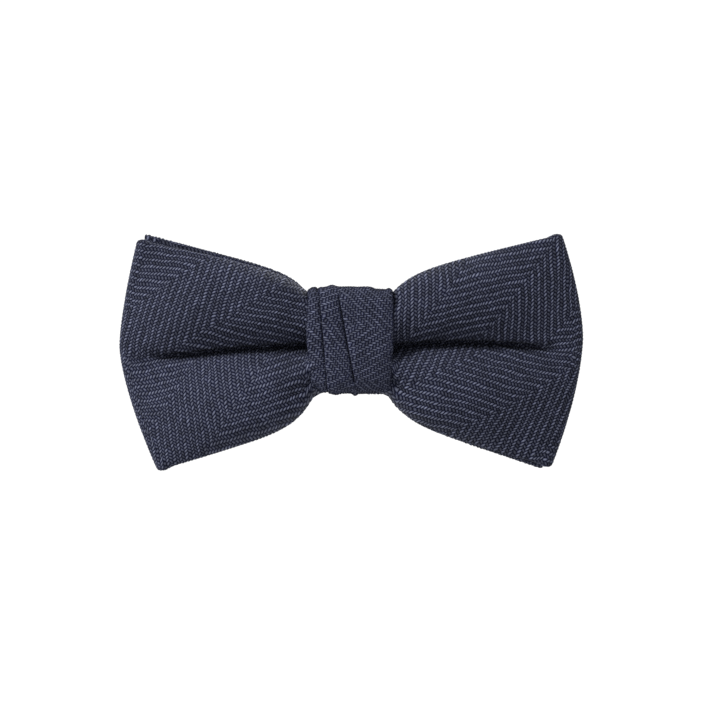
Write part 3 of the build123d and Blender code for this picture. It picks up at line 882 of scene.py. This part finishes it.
def cloth_material():
    """Navy wool in 2/2 herringbone twill: light yarn crowns and dark gaps, the dark of the gaps being
    painted shade, heathered fibres, a soft nap.
    """
    g = Graph("navy_herringbone_wool")
    u, v = g.cloth_uv()
    height, warp_up, float_id, a, b, i, j = weave_nodes(g, u, v)
    # painted shade: this ramp darkens the navy from the yarn crowns down to near black in the gaps between
    # the yarns, where shade falls
    body = g.ramp(height, (
        (0.0, (0.0003, 0.0006, 0.0070)),
        (0.45, (0.0026, 0.0035, 0.0145)),
        (0.72, (0.0236, 0.0262, 0.0460)),
        (1.0, (0.0730, 0.0790, 0.1080)),
    ))
    yarn_seed = g.mix(warp_up, g.math("ADD", j, 0.37), g.math("ADD", i, 151.7))
    per_yarn = g.node("ShaderNodeTexWhiteNoise", noise_dimensions="1D")
    g.put(yarn_seed, per_yarn.inputs["W"])
    per_float = g.node("ShaderNodeTexWhiteNoise", noise_dimensions="1D")
    g.put(float_id, per_float.inputs["W"])
    along = g.mix(warp_up, a, b)
    across = g.mix(warp_up, b, a)
    drawn_out = g.vector(g.math("MULTIPLY", along, 1.1), g.math("MULTIPLY", across, 5.0), 0.0)
    fibres = g.noise(drawn_out, 1.6, 3.0, 0.6)
    heather = g.noise(g.vector(u, v, 0.0), 1.3, 2.0, 0.6)
    cloudy = g.noise(g.vector(u, v, 0.0), 0.07, 2.0, 0.5)
    shade = g.around_one(per_yarn.outputs[0], 0.3)
    for source, amount in ((per_float.outputs[0], 0.5), (fibres, 1.2), (heather, 0.8), (cloudy, 0.3)):
        shade = g.math("MULTIPLY", shade, g.around_one(source, amount))
    # painted shade: the weft is darker than the warp, standing in for the light its yarns catch less of;
    # this painted shade is weaker on the knot and on the left lobe's lower half
    lower_left = g.math("MULTIPLY", g.math("LESS_THAN", v, 0.0), g.math("LESS_THAN", u, -LOBE_START))
    split = g.node("ShaderNodeSeparateXYZ")
    g.put(object_place(g), split.inputs[0])
    on_knot = g.math("LESS_THAN", g.math("ABSOLUTE", split.outputs["X"]), KNOT_EDGE * MM)
    even = g.math("MAXIMUM", lower_left, on_knot)
    shade = g.math("MULTIPLY", shade, g.mix(warp_up, g.math("MULTIPLY_ADD", even, 0.2, 0.6), 1.0))
    # the base colour carries the painted shade of the gaps and of the weft
    g.put(g.tint(body, g.vector(shade, shade, shade)), g.shader.inputs["Base Color"])
    g.put(g.math("MULTIPLY_ADD", height, -0.12, 0.92), g.shader.inputs["Roughness"])
    g.shader.inputs["Specular IOR Level"].default_value = 0.08
    g.shader.inputs["Sheen Weight"].default_value = 0.03
    g.shader.inputs["Sheen Roughness"].default_value = 0.5
    g.shader.inputs["Sheen Tint"].default_value = (0.62, 0.66, 0.8, 1)
    g.bump(g.math("MULTIPLY_ADD", fibres, 0.35, height), 0.00022, 0.7)
    return g.material


LINING_THREADS = 11.0  # radians of weave in each millimetre


def lining_material():
    """Plain woven interlining, undyed."""
    g = Graph("plain_interlining")
    u, v = g.cloth_uv()
    warp = g.math("SINE", g.math("MULTIPLY", u, LINING_THREADS))
    weft = g.math("SINE", g.math("MULTIPLY", v, LINING_THREADS))
    threads = g.math("MULTIPLY", warp, weft)
    fleck = g.noise(g.vector(u, v, 0.0), 2.0, 3.0)
    tone = g.math("MULTIPLY_ADD", fleck, 0.5, g.math("MULTIPLY_ADD", threads, 0.1, 0.3))
    canvas = g.ramp(tone, ((0.0, (0.40, 0.37, 0.31)), (1.0, (0.74, 0.71, 0.63))))
    g.put(canvas, g.shader.inputs["Base Color"])
    g.shader.inputs["Roughness"].default_value = 0.95
    g.bump(threads, 0.0001, 0.5)
    return g.material


def object_place(g):
    """The shaded point in the object's own space, in metres."""
    return g.node("ShaderNodeTexCoord").outputs["Object"]


def metal_material(name, light, dark, rough, grain):
    """Plated steel with fine drawn scratches, cloudy polish and slightly darker worn places."""
    g = Graph(name)
    place = object_place(g)
    stretched = g.node("ShaderNodeMapping")
    g.put(place, stretched.inputs["Vector"])
    stretched.inputs["Scale"].default_value = (grain, grain * 7, grain * 7)
    scratches = g.noise(stretched.outputs[0], 1.0, 4.0, 0.65)
    clouds = g.noise(place, 160.0, 3.0, 0.55)
    tone = g.math("MULTIPLY_ADD", clouds, 0.7, g.math("MULTIPLY", scratches, 0.3))
    g.put(g.ramp(tone, ((0.25, dark), (0.7, light))), g.shader.inputs["Base Color"])
    g.shader.inputs["Metallic"].default_value = 1.0
    rough_map = g.math("MULTIPLY_ADD", scratches, 0.22, g.math("MULTIPLY_ADD", clouds, 0.16, rough))
    g.put(rough_map, g.shader.inputs["Roughness"])
    g.bump(scratches, 0.00003, 0.35)
    return g.material


def thread_material():
    """Navy sewing thread with a two-ply twist."""
    g = Graph("navy_thread")
    fibres = g.noise(object_place(g), 5200.0, 3.0, 0.6)
    navy = g.ramp(fibres, ((0.3, (0.012, 0.014, 0.028)), (0.7, (0.07, 0.078, 0.12))))
    g.put(navy, g.shader.inputs["Base Color"])
    g.shader.inputs["Roughness"].default_value = 0.6
    g.shader.inputs["Sheen Weight"].default_value = 0.3
    g.bump(fibres, 0.00006, 0.6)
    return g.material


# ---- wires and threads ----
def wire_mesh(path, radius, sides=14):
    """Vertices and quads of a round wire along a path of points, with closed ends."""
    path = np.asarray(path, dtype=float)
    tangents = unit(np.gradient(path, axis=0))
    normal = unit(np.cross(tangents[0], [0.3, 0.5, 0.8]))
    rings = []
    for point, tangent in zip(path, tangents):
        normal = unit(normal - tangent * np.dot(normal, tangent))
        side = np.cross(tangent, normal)
        angles = np.linspace(0, math.tau, sides, endpoint=False)[:, None]
        rings.append(point + radius * (np.cos(angles) * normal + np.sin(angles) * side))
    vertices = np.concatenate(rings)
    faces, _, _ = grid_faces(len(path), sides, False, True)
    faces = faces[:, ::-1].tolist()
    faces.append(list(range(sides)))
    faces.append([(len(path) - 1) * sides + k for k in range(sides)][::-1])
    return vertices, faces


def join_meshes(parts):
    """One mesh from several pairs of vertices and faces."""
    vertices = []
    faces = []
    start = 0
    for part_vertices, part_faces in parts:
        vertices.append(part_vertices)
        faces += [[start + index for index in face] for face in part_faces]
        start += len(part_vertices)
    return np.concatenate(vertices), faces


SPRING_WIRE_R = 0.2
SPRING_COIL_R = 0.95
SPRING_TURNS = 4.5
SPRING_PITCH = 0.5
SPRING_SPLAY = 0.6  # the moving leg's foot lies this much further out


def make_spring(side, joint, material):
    """A torsion spring as one wire of coil, fixed leg and moving leg; it is attached to neither the base
    nor the jaw.
    """
    name = joint["child"].replace("jaw", "spring")
    low, high = node_box(name)
    hinge = np.array(joint["pos_m"]) / MM
    height = SPRING_TURNS * SPRING_PITCH
    foot_x = (high[0] - SPRING_WIRE_R) if side < 0 else (low[0] + SPRING_WIRE_R)
    fixed_foot = np.array([foot_x, low[1] + SPRING_WIRE_R, -height / 2])
    moving_foot = np.array([foot_x + side * SPRING_SPLAY, high[1] - SPRING_WIRE_R, height / 2])
    count = int(SPRING_TURNS * 40)
    turn = np.linspace(0, 1, count)
    angle = -math.pi / 2 + turn * SPRING_TURNS * math.tau
    coil = np.stack([
        hinge[0] + side * SPRING_COIL_R * np.cos(angle),
        hinge[1] + SPRING_COIL_R * np.sin(angle),
        -height / 2 + height * turn,
    ], -1)
    steps = np.linspace(0, 1, 16)[:, None]
    path = np.concatenate([
        lerp(fixed_foot, coil[0], steps)[:-1],
        coil,
        lerp(coil[-1], moving_foot, steps)[1:],
    ])
    path = blur_along(path, 4, False)
    vertices, faces = wire_mesh(path, SPRING_WIRE_R)
    spring = make_object(name + "_wire", vertices, faces, material)
    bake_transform(spring)
    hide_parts(name)
    return spring


STITCH_COUNT = 6
PLY_R = 0.15  # radius of one ply, and of the helix it follows
PLY_HELIX_R = 0.13
PLY_TWIST = 11  # radians in half a stitch
STITCH_RISE = 0.42  # how far a stitch stands off in its middle
STITCH_DIVE = 0.75  # how deep its ends go in


def make_stitches(material):
    """Hand stitches of two-ply thread that close the knot band at the back."""
    low, high = node_box("knot_closing_stitches")
    centre_z = (low[2] + high[2]) / 2
    half = (high[2] - low[2]) / 2
    rng = np.random.default_rng(5)
    parts = []
    for x in np.linspace(low[0] + 0.3, high[0] - 0.3, STITCH_COUNT):
        lean = rng.uniform(-0.5, 0.5)
        reach = rng.uniform(0.85, 1.05)
        t = np.linspace(-1, 1, 40)
        middle = np.stack([
            x + lean * t,
            low[1] + STITCH_RISE * (1 - t**2) - STITCH_DIVE * np.abs(t) ** 3,
            centre_z + half * reach * t,
        ], -1)
        for ply in (0, math.pi):
            twist = t * PLY_TWIST + ply
            offset = PLY_HELIX_R * np.stack([np.cos(twist), np.sin(twist), 0 * t], -1)
            parts.append(wire_mesh(middle + offset, PLY_R, 8))
    vertices, faces = join_meshes(parts)
    return make_object("closing_stitches", vertices, faces, material)


# ---- camera, light and stage ----
# These are metres and watts.
LENS = 100
SENSOR = 36
VIEW_WIDTH = 0.1672  # width of the view in the plane of the bow's front
FRONT_PLANE_Y = -0.009
VIEW_X = 0.0003
VIEW_Z = -0.0013
LIGHT_TARGET = (0, -0.008, 0)
KEY_LIGHT = {"place": (-0.85, -0.7, 0.8), "size": 0.5, "power": 34.0}
BACK_LIGHT = {"place": (0.3, 0.9, 0.6), "size": 0.8, "power": 12.0}
WORLD_STRENGTH = 0.9
FLOOR_Z = -0.16
FLOOR_R = 1.6
FLOOR_BEND_R = 0.8
WALL_TOP_Z = 2.6
SWEEP_SIDES = 96
SWEEP_TONE = 0.2
SWEEP_GLOW = 0.8


def look_at(obj, target):
    """Turns a camera or light towards a point."""
    direction = Vector(target) - obj.location
    obj.rotation_euler = direction.to_track_quat("-Z", "Y").to_euler()


def make_camera():
    """A long lens straight in front of the bow."""
    data = bpy.data.cameras.new("camera")
    data.lens = LENS
    data.sensor_width = SENSOR
    distance = VIEW_WIDTH * LENS / SENSOR
    camera = bpy.data.objects.new("camera", data)
    bpy.context.scene.collection.objects.link(camera)
    camera.location = (VIEW_X, FRONT_PLANE_Y - distance, VIEW_Z)
    look_at(camera, (VIEW_X, 0, VIEW_Z))
    bpy.context.scene.camera = camera


def area_light(name, place, size, power):
    """A round soft box that faces the bow."""
    data = bpy.data.lights.new(name, "AREA")
    data.shape = "DISK"
    data.size = size
    data.energy = power
    light = bpy.data.objects.new(name, data)
    bpy.context.scene.collection.objects.link(light)
    light.location = place
    look_at(light, LIGHT_TARGET)


def make_stage():
    """A pale bowl-shaped sweep: a flat floor that curves up into a round wall, open at the top."""
    profile = [(0.0, FLOOR_Z), (FLOOR_R / 2, FLOOR_Z)]
    for turn in np.linspace(0, math.pi / 2, 16):
        radius = FLOOR_R + FLOOR_BEND_R * math.sin(turn)
        profile.append((radius, FLOOR_Z + FLOOR_BEND_R * (1 - math.cos(turn))))
    profile.append((FLOOR_R + FLOOR_BEND_R, WALL_TOP_Z))
    vertices = []
    for radius, z in profile:
        for turn in np.arange(SWEEP_SIDES) * math.tau / SWEEP_SIDES:
            vertices.append((radius * math.cos(turn) / MM, radius * math.sin(turn) / MM, z / MM))
    quads, _, _ = grid_faces(len(profile), SWEEP_SIDES, False, True)
    g = Graph("pale_sweep")
    g.shader.inputs["Base Color"].default_value = (SWEEP_TONE, SWEEP_TONE, SWEEP_TONE, 1)
    g.shader.inputs["Roughness"].default_value = 1.0
    g.shader.inputs["Emission Color"].default_value = (1, 1, 1, 1)
    g.shader.inputs["Emission Strength"].default_value = SWEEP_GLOW
    sweep = make_object("sweep", np.array(vertices), quads, g.material)


def make_light():
    """A soft key from the upper left, a weaker light from behind and a pale surround."""
    world = bpy.data.worlds.new("world")
    world.use_nodes = True
    background = world.node_tree.nodes["Background"]
    background.inputs["Color"].default_value = (1, 1, 1, 1)
    background.inputs["Strength"].default_value = WORLD_STRENGTH
    bpy.context.scene.world = world
    area_light("key", **KEY_LIGHT)
    area_light("back", **BACK_LIGHT)
    bpy.context.scene.view_settings.view_transform = "Standard"


# ---- build ----
def dress(node, material):
    """Gives a CAD node a better material."""
    for slot in frame["nodes"][node].material_slots:
        slot.material = material


make_camera()
make_light()
make_stage()

wool = cloth_material()
canvas = lining_material()
thread = thread_material()
nickel = metal_material("nickel_plate", (0.44, 0.43, 0.41), (0.24, 0.235, 0.225), 0.2, 260.0)
rivet = metal_material("rivet_steel", (0.36, 0.355, 0.345), (0.20, 0.195, 0.19), 0.26, 400.0)
spring_wire = metal_material("spring_wire", (0.24, 0.24, 0.245), (0.12, 0.12, 0.125), 0.28, 500.0)

front_bow, front_lining = make_front_bow(wool, canvas)
tails, tails_lining = make_tails(wool, canvas)
knot, knot_lining = make_knot(wool, canvas)
stitches = make_stitches(thread)

strip_length = 4 * bow_high[0] * MM
tails_length = (tails_high[0] - tails_low[0]) * MM
knot_around = 2 * ((knot_high[1] - knot_low[1]) + (knot_high[2] - knot_low[2])) * MM
strip_width = 2 * STRIP_HALF * MM
knot_width = (knot_high[0] - knot_low[0]) * MM
lining_width = strip_width * 0.75
knot_lining_flat = (0.0166, knot_around * 0.9)
for piece, node, slot_name, flat, held in (
    (front_bow, "front_bow_cover", "herringbone_cloth", (strip_width, strip_length), "gathered"),
    (front_lining, "front_bow_interlining", "interlining_cloth", (lining_width, strip_length), "gathered"),
    (tails, "rear_bow_cover", "herringbone_cloth", (strip_width, tails_length), "gathered"),
    (tails_lining, "rear_bow_interlining", "interlining_cloth", (lining_width, tails_length), "gathered"),
    (knot, "knot_wrap", "herringbone_cloth", (knot_width, knot_around), "folded"),
    (knot_lining, "knot_interlining", "interlining_cloth", knot_lining_flat, "folded"),
):
    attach(piece, "root")
    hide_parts(node)

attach(stitches, "root")
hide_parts("knot_closing_stitches")

dress("waist_binding_thread", thread)
for name in ("clip_base", "left_jaw", "right_jaw"):
    dress(name, nickel)
for name in ("left_hinge_pin", "right_hinge_pin"):
    dress(name, rivet)
for joint in frame["joints"]:
    make_spring(1 if joint["pos_m"][0] > 0 else -1, joint, spring_wire)
